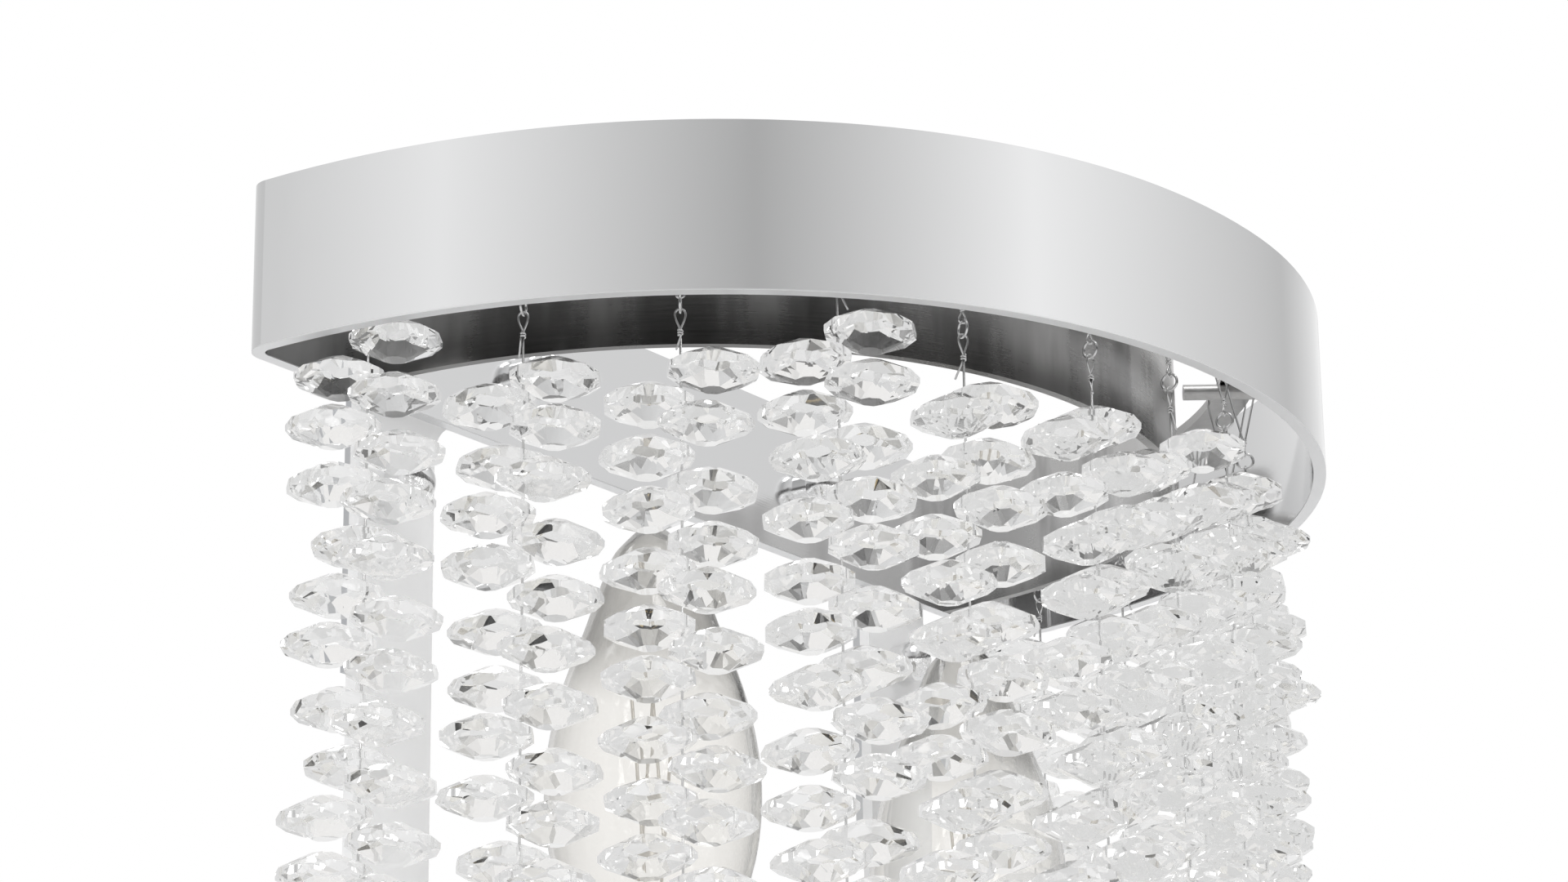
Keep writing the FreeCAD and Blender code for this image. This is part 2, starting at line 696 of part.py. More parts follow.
def build():
    os.makedirs("parts", exist_ok=True)
    sides = (("left", -1), ("right", 1))

    save("outer_band", outerBand())
    save("inner_band", curvedStrip(innerHalfWidth, innerDepth, innerSheet, bandBottom,
                                   bandHeight, bandBack - bandSheet))
    save("bridge_rods", bridgeRods())
    save("hanger_rail", curvedStrip(railHalfWidth + railWidth / 2, railDepth + railWidth / 2,
                                    railWidth, railBottom, railSheet, bandBack - bandSheet))

    ring, disc = jumpRing(), crystalDisc()
    save("hanger_wires", [atStrand(hangerWire(i), i, strandRingZ(i))
                          for i in range(strandCount)])
    save("jump_rings", [atStrand(ring, i, strandRingZ(i)) for i in range(strandCount)])
    for i in range(strandCount):
        save("strand_wire_%02d" % (i + 1), atStrand(strandWire(i), i, strandRingZ(i)))
        save("crystal_strand_%02d" % (i + 1), crystalStrand(i, disc))

    save("back_plate", backPlate())
    save("wall_strips", wallStrips())
    save("crossbar", crossbar())
    save("mounting_studs", [stud(s * x, z) for s in (-1, 1)
                            for x, z in ((strapMiddle, 0), (canopyStudX, crossbarZ))])
    save("band_bolts", [bandBolt(s * bandBoltX) for s in (-1, 1)])
    save("ball_cap_nuts", [ballNut(s * x, z, seat) for s in (-1, 1) for x, z, seat in
                           ((strapMiddle, 0, plateFront), (canopyStudX, crossbarZ, plateFront),
                            (bandBoltX, bandMiddleZ, plateFront - bandSheet))])

    save("lamp_shelf", lampShelf())
    save("box_cover", boxCover())
    flangeFront = plateFront - shelfSheet
    save("shelf_screws", [screwDownY(s * flangeScrewX, wireHoleZ, flangeFront,
                                     shelfSheet + plateSheet) for s in (-1, 1)])
    save("cover_screws", [coverScrew(s * coverPostX) for s in (-1, 1)])
    save("ground_screw", screwDownY(groundScrewX, wireHoleZ, flangeFront,
                                    shelfSheet + plateSheet))
    save("wire_grommet", wireGrommet())
    save("lamp_leads", lampLeads())

    save("lamp_pipes", [lampPipe(s * lampX) for s in (-1, 1)])
    save("pipe_nuts", [pipeNut(s * lampX, z) for s in (-1, 1)
                       for z in (shelfTop, shelfBottom - pipeNutHeight)])
    save("screw_shells", [screwShell(s * lampX) for s in (-1, 1)])
    save("centre_contacts", [centreContact(s * lampX) for s in (-1, 1)])
    for name, s in sides:
        save("lamp_holder_" + name, lampHolder(s * lampX))
        save("candle_sleeve_" + name, candleSleeve(s * lampX))
        save("bulb_glass_" + name, lampGlassBody(s * lampX))
        save("bulb_cap_" + name, lampCap(s * lampX))
        save("bulb_filament_" + name, filamentMount(s * lampX))


build()
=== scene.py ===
import json
import math

import bpy
import numpy as np
from mathutils import Matrix, Vector


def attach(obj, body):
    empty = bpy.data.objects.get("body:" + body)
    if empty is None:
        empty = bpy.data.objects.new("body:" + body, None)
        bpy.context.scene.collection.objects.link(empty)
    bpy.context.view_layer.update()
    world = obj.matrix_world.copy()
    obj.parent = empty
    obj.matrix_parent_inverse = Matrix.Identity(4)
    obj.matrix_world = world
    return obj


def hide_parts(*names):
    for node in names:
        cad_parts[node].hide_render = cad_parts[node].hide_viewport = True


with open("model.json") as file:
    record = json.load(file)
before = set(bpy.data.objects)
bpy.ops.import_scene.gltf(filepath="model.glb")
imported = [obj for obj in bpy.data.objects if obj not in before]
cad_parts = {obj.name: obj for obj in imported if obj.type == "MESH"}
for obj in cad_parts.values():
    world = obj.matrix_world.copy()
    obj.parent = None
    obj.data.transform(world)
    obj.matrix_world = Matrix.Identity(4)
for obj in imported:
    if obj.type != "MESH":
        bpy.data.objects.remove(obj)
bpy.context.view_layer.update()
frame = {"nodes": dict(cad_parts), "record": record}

mm = 0.001


# A tone is one socket of a node tree, and an expression on tones adds its Math nodes
class Tone:
    def __init__(self, tree, socket):
        self.tree = tree
        self.socket = socket

    def maths(self, operation, first, second):
        node = self.tree.nodes.new("ShaderNodeMath")
        node.operation = operation
        for entry, value in zip(node.inputs, (first, second)):
            if isinstance(value, Tone):
                self.tree.links.new(value.socket, entry)
            else:
                entry.default_value = value
        return Tone(self.tree, node.outputs[0])

    def __add__(self, other):
        return self.maths("ADD", self, other)

    def __radd__(self, other):
        return self.maths("ADD", other, self)

    def __sub__(self, other):
        return self.maths("SUBTRACT", self, other)

    def __rsub__(self, other):
        return self.maths("SUBTRACT", other, self)

    def __mul__(self, other):
        return self.maths("MULTIPLY", self, other)

    def __rmul__(self, other):
        return self.maths("MULTIPLY", other, self)

    def __truediv__(self, other):
        return self.maths("DIVIDE", self, other)

    def __rtruediv__(self, other):
        return self.maths("DIVIDE", other, self)


# A finish is one node tree: a material's, or the world's
class Finish:
    def __init__(self, tree):
        self.tree = tree
        tree.nodes.clear()

    # any node: its type, its settings (a ramp's stops too), then its sockets
    def node(self, kind, settings=None, sockets=None, out=0):
        node = self.tree.nodes.new(kind)
        for key, value in (settings or {}).items():
            if key == "stops":
                ramp = node.color_ramp
                while len(ramp.elements) < len(value):
                    ramp.elements.new(0.5)
                for element, (place, shade) in zip(ramp.elements, value):
                    element.position = place
                    element.color = (*shade, 1)
            else:
                setattr(node, key, value)
        for key, value in (sockets or {}).items():
            if isinstance(value, Tone):
                self.tree.links.new(value.socket, node.inputs[key])
            else:
                node.inputs[key].default_value = value
        return Tone(self.tree, node.outputs[out]) if node.outputs else None

    # Math operations that have no sign of their own
    def maths(self, operation, *values):
        return self.node("ShaderNodeMath", {"operation": operation}, dict(enumerate(values)))

    # one coordinate, X, Y or Z, in the piece's own coordinates
    def along(self, axis):
        place = self.node("ShaderNodeTexCoord", out="Object")
        return self.node("ShaderNodeSeparateXYZ", sockets={"Vector": place}, out=axis)

    # a value taken from one span to another, held past its ends
    def span(self, value, start, end, low=0.0, high=1.0, easing="SMOOTHSTEP"):
        return self.node("ShaderNodeMapRange", {"interpolation_type": easing}, {
            "Value": value, "From Min": start, "From Max": end, "To Min": low, "To Max": high})

    # speckle from stretched noise, in the piece's own coordinates
    def grain(self, stretch, detail=2.0, rough=0.5):
        place = self.node("ShaderNodeTexCoord", out="Object")
        place = self.node("ShaderNodeMapping", sockets={"Vector": place, "Scale": stretch})
        return self.node("ShaderNodeTexNoise", sockets={
            "Vector": place, "Scale": 1.0, "Detail": detail, "Roughness": rough})

    def relief(self, height, strength, distance):
        return self.node("ShaderNodeBump", sockets={
            "Height": height, "Strength": strength, "Distance": distance})

    # from one colour or tone to another; 0, 6 and 7 are a colour Mix node's own sockets
    def shade(self, dark, light, amount):
        dark, light = (end if isinstance(end, Tone) else (*end, 1) for end in (dark, light))
        return self.node("ShaderNodeMix", {"data_type": "RGBA"}, {
            0: amount, 6: dark, 7: light}, out=2)

    def coat(self, **values):
        sockets = {key.replace("_", " "): value for key, value in values.items()}
        return self.node("ShaderNodeBsdfPrincipled", sockets=sockets)


def grey(level):
    return (level, level, level)


def polish(name, surface):
    material = bpy.data.materials.new(name)
    material.use_nodes = True
    f = Finish(material.node_tree)
    f.node("ShaderNodeOutputMaterial", sockets={"Surface": surface(f)})
    return material


# In every finish, places and relief distances are in metres, a relief is its strength and
# its distance, and a roughness of two numbers is the least and what the speckle adds
bandFinish = {"dull": (0.84, 0.845, 0.85), "light": (0.90, 0.90, 0.905), "roughness": 0.045,
              "brush": (30, 30, 5200), "brushRough": 0.05, "brushRelief": (0.35, 0.00001),
              "cloud": (14, 14, 14), "cloudRough": 0.04,
              "lowerEdge": 0.012, "edgeBlend": 0.0003, "edgeRough": 0.45}


def chromedBand(f):
    brush = f.grain(bandFinish["brush"], detail=3.0)    # fine lines round the band
    cloud = f.grain(bandFinish["cloud"])
    edge = bandFinish["lowerEdge"]                      # the sheet's lower edge is satin
    satin = f.span(f.along("Z"), edge + bandFinish["edgeBlend"], edge,
                   high=bandFinish["edgeRough"], easing="LINEAR")
    rough = (bandFinish["roughness"] + bandFinish["brushRough"] * brush
             + bandFinish["cloudRough"] * cloud + satin)
    return f.coat(Base_Color=f.shade(bandFinish["dull"], bandFinish["light"], cloud),
                  Metallic=1.0, Roughness=rough,
                  Normal=f.relief(brush, *bandFinish["brushRelief"]))


# The inner band's dark and light tints and their spans below are painted reflection of its
# surroundings
innerFinish = {"dark": (0.13, 0.128, 0.125), "light": (0.66, 0.655, 0.65),
               "brush": (60, 60, 3000), "brushRelief": (0.5, 0.00002),
               "streak": (62, 62, 14), "streakSpan": (0.34, 0.72), "lightness": (0.22, 0.70),
               "lowEdge": 0.0125, "lowTone": 0.3, "fullFrom": 0.0185,
               "left": (-0.03, 0.82), "right": (0.05, 2.8),
               "roughness": 0.14, "brushRough": 0.16, "streakRough": 0.16}


# Brushed all round. Its tint is painted reflection: dark for the dark surroundings that it
# mirrors, with upright lighter patches, darker towards its lower edge and lighter towards its
# right
def brushedBand(f):
    brush = f.grain(innerFinish["brush"], detail=4.0, rough=0.65)
    streak = f.grain(innerFinish["streak"], detail=4.0, rough=0.6)
    # painted reflection: upright lighter patches in the tint
    paintedPatch = f.span(streak, *innerFinish["streakSpan"])
    # painted reflection: the tint darkens towards the lower edge
    paintedLowEdgeDark = f.span(f.along("Z"), innerFinish["lowEdge"], innerFinish["fullFrom"],
                     low=innerFinish["lowTone"])
    # painted reflection: the tint lightens towards the right
    (left, leftTone), (right, rightTone) = innerFinish["left"], innerFinish["right"]
    paintedRightLight = f.span(f.along("X"), left, right, leftTone, rightTone)
    base, added = innerFinish["lightness"]
    tint = f.shade(innerFinish["dark"], innerFinish["light"],
                   (base + added * paintedPatch) * paintedLowEdgeDark * paintedRightLight)
    rough = (innerFinish["roughness"] + innerFinish["brushRough"] * brush
             + innerFinish["streakRough"] * paintedPatch)
    return f.coat(Base_Color=tint, Metallic=1.0, Roughness=rough,
                  Normal=f.relief(brush, *innerFinish["brushRelief"]))


paintFinish = {"dull": (0.90, 0.903, 0.905), "light": (0.94, 0.94, 0.94),
               "peel": (420, 420, 420), "cloud": (20, 20, 20), "rough": (0.30, 0.12),
               "relief": (0.25, 0.00004)}


def paleSheet(f):
    peel = f.grain(paintFinish["peel"])                 # the paint's faint orange peel
    cloud = f.grain(paintFinish["cloud"], detail=3.0)
    base, added = paintFinish["rough"]
    return f.coat(Base_Color=f.shade(paintFinish["dull"], paintFinish["light"], cloud),
                  Metallic=0.0, Roughness=base + added * peel,
                  Normal=f.relief(peel, *paintFinish["relief"]))


zincFinish = {"dull": (0.56, 0.58, 0.62), "light": (0.74, 0.74, 0.73), "cloud": (60, 60, 60),
              "spangle": 260.0, "rough": (0.28, 0.25)}


def zincSteel(f):
    spangle = f.node("ShaderNodeTexVoronoi", {"feature": "F1"}, {
        "Vector": f.node("ShaderNodeTexCoord", out="Object"),
        "Scale": zincFinish["spangle"]}, out="Distance")
    cloud = f.grain(zincFinish["cloud"], detail=3.0)
    base, added = zincFinish["rough"]
    return f.coat(Base_Color=f.shade(zincFinish["dull"], zincFinish["light"], cloud),
                  Metallic=1.0, Roughness=base + added * spangle)


# studio is the grey of the painted glow
crystalFinish = {"dull": (0.955, 0.957, 0.952), "light": (0.98, 0.98, 0.98), "ior": 1.47,
                 "swirl": (300, 300, 300), "rough": (0.003, 0.01), "shadow": 0.92,
                 "deep": 5.5, "studio": 0.73}


# Clear cut glass. Most of the lamps' light falls through it to what hangs behind, and a ray
# that has turned at more faces than "deep" ends in painted glow, in the tone of the studio
# round the light.
def cutCrystal(f):
    swirl = f.grain(crystalFinish["swirl"])
    tint = f.shade(crystalFinish["dull"], crystalFinish["light"], swirl)
    base, added = crystalFinish["rough"]
    glass = f.coat(Base_Color=tint, Roughness=base + added * swirl, IOR=crystalFinish["ior"],
                   Transmission_Weight=1.0)
    shadow = f.node("ShaderNodeLightPath", out="Is Shadow Ray")
    depth = f.node("ShaderNodeLightPath", out="Ray Depth")
    deep = f.maths("GREATER_THAN", depth, crystalFinish["deep"])
    clear = f.node("ShaderNodeBsdfTransparent")
    # painted glow: an emission in the studio's grey, where a ray has gone deep
    paintedGlow = f.node("ShaderNodeEmission", sockets={
        "Color": (*grey(crystalFinish["studio"]), 1), "Strength": 1.0})
    glass = f.node("ShaderNodeMixShader", sockets={0: deep, 1: glass, 2: paintedGlow})
    return f.node("ShaderNodeMixShader", sockets={
        0: crystalFinish["shadow"] * shadow, 1: glass, 2: clear})


# rim and tipShade are the greys of painted reflection, edge on and at the tip
bulbFinish = {"middle": (1.0, 0.997, 0.985), "rim": (0.34, 0.335, 0.32), "ior": 1.45,
              "swirl": (60, 60, 30), "rough": (0.01, 0.015),
              "tip": -0.026, "tipRun": 0.006, "tipShade": 0.62}


# Thin blown glass, its colour greyed by painted reflection where it is seen edge on and
# towards its tip
def bulbGlass(f):
    swirl = f.grain(bulbFinish["swirl"])
    # painted reflection: the colour greys where the glass is seen edge on
    edgeOn = f.node("ShaderNodeLayerWeight", sockets={"Blend": 0.5}, out="Facing")
    # painted reflection: the colour greys towards the tip
    paintedTipReflection = f.span(f.along("Z"), bulbFinish["tip"] - bulbFinish["tipRun"], bulbFinish["tip"],
                   high=bulbFinish["tipShade"])
    greyer = f.maths("MINIMUM", edgeOn * edgeOn + paintedTipReflection * (0.5 + 0.5 * edgeOn), 1.0)
    base, added = bulbFinish["rough"]
    return f.coat(Base_Color=f.shade(bulbFinish["middle"], bulbFinish["rim"], greyer),
                  Roughness=base + added * swirl, IOR=bulbFinish["ior"],
                  Transmission_Weight=1.0)


# Finishes of one speckle, which takes the colour from dark to light and roughens it
speckledFinishes = {
    "dark_steel": {"dark": (0.42, 0.415, 0.41), "light": (0.60, 0.595, 0.59), "metal": 1.0,
                   "stretch": (700, 700, 700), "detail": 3.0, "rough": (0.24, 0.2)},
    "steel_wire": {"dark": (0.60, 0.60, 0.60), "light": (0.78, 0.78, 0.78), "metal": 1.0,
                   "stretch": (900, 900, 120), "detail": 2.0, "rough": (0.18, 0.12)},
    "chromed_nut": {"dark": (0.80, 0.80, 0.80), "light": (0.88, 0.88, 0.885), "metal": 1.0,
                    "stretch": (500, 500, 500), "detail": 2.0, "rough": (0.08, 0.1)},
    "green_screw": {"dark": (0.05, 0.28, 0.10), "light": (0.12, 0.46, 0.20), "metal": 0.6,
                    "stretch": (800, 800, 800), "detail": 2.0, "rough": (0.3, 0.2)},
    "black_rubber": {"dark": (0.02, 0.02, 0.02), "light": (0.05, 0.05, 0.05), "metal": 0.0,
                     "stretch": (900, 900, 900), "detail": 3.0, "rough": (0.6, 0.25),
                     "relief": (0.3, 0.00005)},
    "lead_insulation": {"dark": (0.76, 0.76, 0.74), "light": (0.86, 0.86, 0.85), "metal": 0.0,
                        "stretch": (120, 120, 120), "detail": 2.0, "rough": (0.32, 0.15)},
    "brass_shell": {"dark": (0.58, 0.43, 0.20), "light": (0.80, 0.64, 0.36), "metal": 1.0,
                    "stretch": (160, 160, 160), "detail": 3.0, "rough": (0.22, 0.2)},
    "nickel_cap": {"dark": (0.62, 0.60, 0.56), "light": (0.80, 0.78, 0.75), "metal": 1.0,
                   "stretch": (20, 20, 2600), "detail": 2.0, "rough": (0.18, 0.2)},
    "holder_plastic": {"dark": (0.035, 0.035, 0.035), "light": (0.07, 0.07, 0.07),
                       "metal": 0.0, "stretch": (600, 600, 600), "detail": 2.0,
                       "rough": (0.45, 0.2), "relief": (0.2, 0.00003)},
    "sleeve_plastic": {"dark": (0.80, 0.79, 0.76), "light": (0.88, 0.87, 0.84), "metal": 0.0,
                       "stretch": (90, 90, 30), "detail": 2.0, "rough": (0.28, 0.12)},
    "filament_mount": {"dark": (0.60, 0.56, 0.50), "light": (0.82, 0.80, 0.76), "metal": 0.7,
                       "stretch": (200, 200, 200), "detail": 2.0, "rough": (0.2, 0.2)},
}


def speckled(values):
    def surface(f):
        speckle = f.grain(values["stretch"], values["detail"])
        base, added = values["rough"]
        sockets = {"Base_Color": f.shade(values["dark"], values["light"], speckle),
                   "Metallic": values["metal"], "Roughness": base + added * speckle}
        if "relief" in values:
            sockets["Normal"] = f.relief(speckle, *values["relief"])
        return f.coat(**sockets)
    return surface


finishes = {"chromed_band": chromedBand, "brushed_band": brushedBand, "pale_paint": paleSheet,
            "zinc_steel": zincSteel, "clear_crystal": cutCrystal, "bulb_glass": bulbGlass}
for slot, values in speckledFinishes.items():
    finishes[slot] = speckled(values)
materials = {slot: polish(slot, surface) for slot, surface in finishes.items()}
for part in frame["record"]["subparts"]:
    node = frame["nodes"][part["node"]]
    node.data.materials.clear()
    node.data.materials.append(materials[part["material_slot"]])
print("finishes:", len(materials))


def newPiece(name, points, faces, slot, body, stands, smooth=False):
    mesh = bpy.data.meshes.new(name)
    mesh.from_pydata(points.tolist(), [], faces)
    mesh.update()
    if smooth:
        mesh.shade_smooth()
    piece = bpy.data.objects.new(name, mesh)
    bpy.context.scene.collection.objects.link(piece)
    mesh.materials.append(materials[slot])
    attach(piece, body)
    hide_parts(*stands)
    return piece


# A tube: circles of the given radius set square to a path of points,
# with each circle's frame carried on from the one before, closed at both ends.
def tube(path, radius, sides, closed=False):
    path = np.asarray(path, float)
    count = len(path)
    if closed:
        ahead = np.roll(path, -1, 0) - np.roll(path, 1, 0)
    else:
        ahead = np.gradient(path, axis=0)
    ahead /= np.linalg.norm(ahead, axis=1)[:, None]
    across = np.zeros_like(path)
    start = np.array([0.31, 0.87, 0.12])                # a direction that no path starts in
    for i in range(count):
        start = start - ahead[i] * (start @ ahead[i])
        start /= np.linalg.norm(start)
        across[i] = start
    other = np.cross(ahead, across)
    turn = np.linspace(0, 2 * np.pi, sides, endpoint=False)
    ring = (across[:, None, :] * np.cos(turn)[None, :, None]
            + other[:, None, :] * np.sin(turn)[None, :, None])
    points = (path[:, None, :] + radius * ring).reshape(-1, 3)
    rows = count if closed else count - 1
    i, j = np.meshgrid(np.arange(rows), np.arange(sides), indexing="ij")
    nextRow, nextSide = (i + 1) % count, (j + 1) % sides
    faces = np.stack([i * sides + j, i * sides + nextSide,
                      nextRow * sides + nextSide, nextRow * sides + j], -1)
    faces = faces.reshape(-1, 4).tolist()
    if not closed:
        faces.append(list(range(sides))[::-1])
        faces.append([(count - 1) * sides + k for k in range(sides)])
    return points, faces


def joined(parts):
    points, faces, base = [], [], 0
    for somePoints, someFaces in parts:
        points.append(somePoints)
        faces += [[base + k for k in face] for face in someFaces]
        base += len(somePoints)
    return np.concatenate(points), faces


# The rail's plan and the strands' stations along it, in mm, as in the part. Drift, lift and
# extra rows go by strand from the left wall end, and strands past the end of a list have 0.
plan = {"halfWidth": 89.8, "depth": 95.55, "fullness": 2.1, "back": -4.5, "strands": 13,
        "endMargin": 12.4, "bandBottom": 12.0, "ringHeight": 3.0,
        "drift": (1.5, 4.5, 5.2, 5.6, 2.9, 4.7, 2.7, 2.0, 1.3, 0.3, -0.7, -1.9, -3.5),
        "lift": (0.6, 0.6, -0.5, -1.5, -1.5), "extraRows": (2, 0, 0, 2)}

# A disc in mm and degrees. A wander is degrees of turn, then its phase by row and by strand.
disc = {"sides": 8, "radius": 6.95, "thickness": 6.0, "girdle": 0.9, "table": 1.9,
        "offset": 4.9, "hole": 0.45, "holeSides": 5, "holeReach": 1.42,
        "pitch": 4.15, "rows": 65, "firstDrop": 7.6,
        "wander": ((34.0, 0.9, 1.7), (12.0, 2.3, 2.9)),
        "droop": 2.4, "tilt": 2.2, "heldTilt": 0.3, "seed": 40}


# Points of |x/a|^p + |y/b|^p = 1, from the left wall end round to the right one
def railCurve(steps=6000):
    t = np.linspace(0, np.pi, steps + 1)
    power = 2 / plan["fullness"]
    x = -plan["halfWidth"] * np.sign(np.cos(t)) * np.abs(np.cos(t)) ** power
    y = plan["back"] - plan["depth"] * np.abs(np.sin(t)) ** power
    return np.stack([x, y, 0 * t], 1)


# A strand's place and the rail's direction there: even stations, plus its own drift
def stations():
    curve = railCurve()
    run = np.concatenate([[0], np.cumsum(np.linalg.norm(np.diff(curve, axis=0), axis=1))])
    goals = np.linspace(plan["endMargin"], run[-1] - plan["endMargin"], plan["strands"])
    goals += np.array(plan["drift"])
    found = []
    for goal, i in zip(goals, np.searchsorted(run, goals)):
        along = curve[i + 1] - curve[i - 1]
        along /= np.linalg.norm(along)
        part = (goal - run[i - 1]) / (run[i] - run[i - 1])
        found.append((curve[i - 1] + part * (curve[i] - curve[i - 1]), along))
    return found


places = stations()
tags = ["%02d" % (index + 1) for index in range(plan["strands"])]


def own(values, index):
    return values[index] if index < len(values) else 0


def ringZ(index):
    return (plan["bandBottom"] + plan["ringHeight"] + own(plan["lift"], index)
            + disc["pitch"] * own(plan["extraRows"], index))


def rowZ(index, row):
    return (plan["bandBottom"] - disc["firstDrop"] - disc["pitch"] * row
            + own(plan["lift"], index))


# Local axes at a strand: x along the rail, -y outwards, z up
def atStrand(points, index, z=0.0):
    place, along = places[index]
    turn = np.array([[along[0], -along[1], 0], [along[1], along[0], 0], [0, 0, 1]])
    return (points @ turn.T + place + [0, 0, z]) * mm


# A cut disc: a table, eight star facets from its edges to the rim's middles, eight kites
# from its corners to the rim's corners, and the upright rim; then two drilled holes,
# each a narrow five-sided void just under the crowns.
def cutDisc():
    sides, rim, table = disc["sides"], disc["radius"], disc["table"]
    corner = np.arange(sides) * 2 * np.pi / sides
    middle = corner + np.pi / sides
    top, edge = disc["thickness"] / 2, disc["girdle"] / 2
    halfSide = math.cos(math.pi / sides)
    reach = rim * halfSide
    lift = top - (top - edge) * (reach * halfSide - table) / (rim - table)

    def ring(radius, angles, z):
        return np.stack([radius * np.cos(angles), radius * np.sin(angles), 0 * angles + z], 1)

    def at(row, k):                                     # a corner's number, by ring and side
        return row * sides + k % sides

    points = np.concatenate([
        ring(table, corner, top), ring(reach, middle, lift), ring(rim, corner, edge),
        ring(table, corner, -top), ring(reach, middle, -lift), ring(rim, corner, -edge)])
    points[:, 0] += disc["offset"]
    faces = [[at(0, k) for k in range(sides)], [at(3, k) for k in range(sides)][::-1]]
    for i in range(sides):
        faces.append([at(0, i), at(1, i), at(0, i + 1)])
        faces.append([at(0, i), at(1, i - 1), at(2, i), at(1, i)])
        faces.append([at(3, i), at(3, i + 1), at(4, i)])
        faces.append([at(3, i), at(4, i), at(5, i), at(4, i - 1)])
        faces.append([at(2, i), at(5, i), at(4, i), at(5, i + 1), at(2, i + 1), at(1, i)])
    parts = [(points, faces)]
    count = disc["holeSides"]
    around = np.arange(count) * 2 * np.pi / count
    for x in (0, 2 * disc["offset"]):
        void = np.concatenate([ring(disc["hole"], around, disc["holeReach"]),
                               ring(disc["hole"], around, -disc["holeReach"])])
        void[:, 0] += x
        walls = [[k, (k + 1) % count, count + (k + 1) % count, count + k]
                 for k in range(count)]
        ends = [list(range(count))[::-1], list(range(count, 2 * count))]
        parts.append((void, walls + ends))
    return joined(parts)


# Every disc of a strand at once: turned to its side by row, then by the two sines of the
# wander, drooping and tilting a little; those between the bands lie along the rail.
def crystalStrand(index):
    points, faces = cutDisc()
    rows = np.arange(-own(plan["extraRows"], index), disc["rows"])
    levels = rowZ(index, rows)
    free = np.where(levels + disc["thickness"] / 2 > plan["bandBottom"], 0.0, 1.0)
    wander = sum(swing * np.sin(byRow * rows + byStrand * index)
                 for swing, byRow, byStrand in disc["wander"])
    turn = np.radians(np.where(rows % 2 == 0, 0, 180) + free * wander)
    chance = np.random.default_rng(disc["seed"] + index).uniform(-1, 1, (len(rows), 2))
    droop = np.radians((chance[:, 0] - 1) * disc["droop"])[:, None]
    tilt = np.radians(chance[:, 1] * disc["tilt"]
                      * np.where(free > 0, 1.0, disc["heldTilt"]))[:, None]
    x, y, z = points[None, :, 0], points[None, :, 1], points[None, :, 2]
    x, z = x * np.cos(droop) - z * np.sin(droop), z * np.cos(droop) + x * np.sin(droop)
    y, z = y * np.cos(tilt) - z * np.sin(tilt), z * np.cos(tilt) + y * np.sin(tilt)
    c, s = np.cos(turn)[:, None], np.sin(turn)[:, None]
    cloud = np.stack([x * c - y * s, x * s + y * c, z + levels[:, None]], -1).reshape(-1, 3)
    step = len(points)
    allFaces = [[k + step * r for k in face] for r in range(len(rows)) for face in faces]
    return atStrand(cloud, index), allFaces


for index, tag in enumerate(tags):
    points, faces = crystalStrand(index)
    newPiece("crystals_" + tag, points, faces, "clear_crystal", "strand_" + tag,
             ["crystal_strand_" + tag])
print("crystals:", plan["strands"], "strands")


# Circle across the rail: y = r cos t, z = r sin t
def circle(radius, count):
    t = np.linspace(0, 2 * np.pi, count, endpoint=False)
    return radius * np.stack([0 * t, np.cos(t), np.sin(t)], 1)


# Teardrop from its foot round and back: x = h sin t (1 - cos t) / 1.3, z = l (1 - cos t) / 2,
# where 1.3 is the most that sin t (1 - cos t) reaches, and the foot stays open by the gap
def teardrop(foot, length, half, gap=0.12, count=30):
    t = np.linspace(gap, 2 * np.pi - gap, count)
    x = half * np.sin(t) * (1 - np.cos(t)) / 1.3
    return np.stack([x, 0 * t, foot + length * (1 - np.cos(t)) / 2], 1)


# Helix round the z axis: a wrapped end
def wrap(radius, top, bottom, turns, count, phase=0.0):
    s = np.linspace(0, 1, count)
    a = 2 * np.pi * turns * s + phase
    return np.stack([radius * np.cos(a), radius * np.sin(a), top + (bottom - top) * s], 1)


# All in mm. Above and below are measured from a loop's foot, or from the wire's lower end,
# and a phase is in radians by strand, so that no two strands are wrapped alike.
ringWire = {"radius": 1.3, "wire": 0.21, "points": 28, "sides": 10}
strandWire = {"stem": 0.19, "thin": 0.16, "sides": 7, "loop": 3.3, "loopHalf": 0.78,
              "stemPoints": 16, "kink": 0.12, "endDrop": 3.9,
              "knot": 0.32, "knotAbove": 0.2, "knotBelow": 0.75, "knotTurns": 2.4,
              "knotPoints": 26, "knotPhase": 1.3,
              "tail": 3.2, "tailLean": 0.42, "tailDrop": 0.8, "tailPhase": 2.1,
              "stop": 0.3, "stopTop": 1.2, "stopBottom": 0.2, "stopTurns": 2.2,
              "stopPoints": 24}
hangerWire = {"thin": 0.16, "sides": 7, "eye": 1.9, "eyeHalf": 0.62,
              "railHalf": 3.0, "railBottom": 31.6, "railTop": 33.1, "clear": 0.22,
              "neck": 0.28, "neckAbove": 1.1, "neckTurns": 2.6, "neckPoints": 28,
              "neckPhase": 0.7}
ringInside = ringWire["radius"] - 2 * ringWire["wire"]


